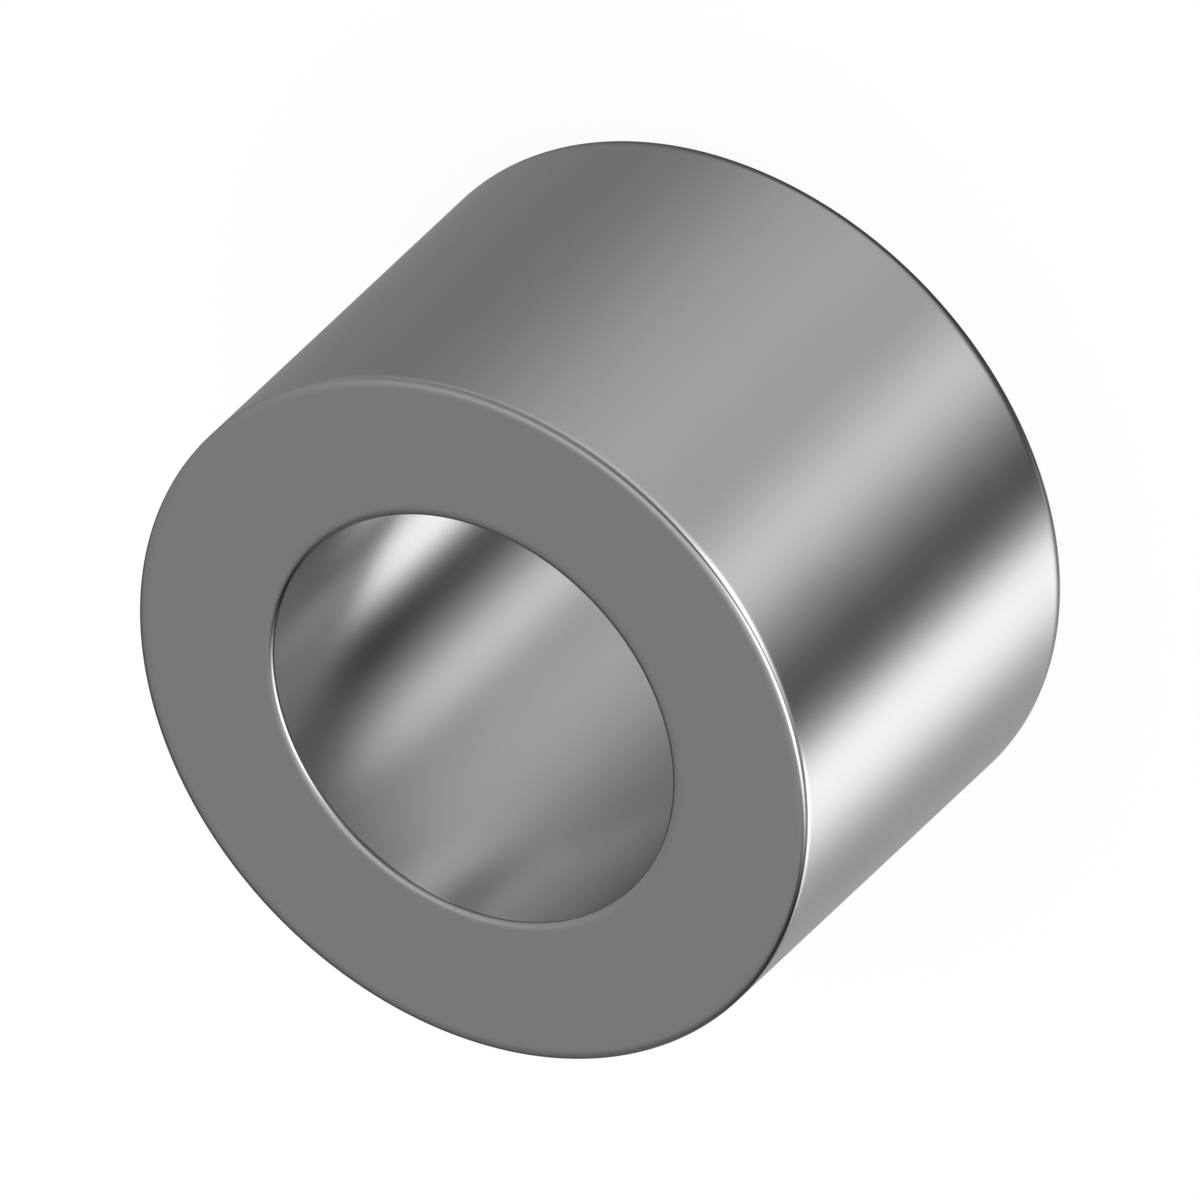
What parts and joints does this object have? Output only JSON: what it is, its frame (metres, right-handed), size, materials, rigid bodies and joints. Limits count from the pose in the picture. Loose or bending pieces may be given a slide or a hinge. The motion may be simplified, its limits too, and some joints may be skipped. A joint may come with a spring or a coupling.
{
  "type": "spacer sleeve",
  "caption": "Plain steel spacer sleeve: a short thick-walled ring with a smooth through bore and flat ends, which slips over a bolt or pin and holds two parts apart.",
  "frame": {"origin": "middle of the lower end face, on the sleeve's axis", "axes": "+Z along the sleeve's axis, from the lower end face to the upper one; the sleeve is round, so X and Y are any two directions across it"},
  "size_m": [0.02, 0.02, 0.013],
  "materials": {
    "steel": "satin, fine turned"
  },
  "bodies": {
    "root": {"spacer_sleeve": "steel"}
  },
  "joints": []
}
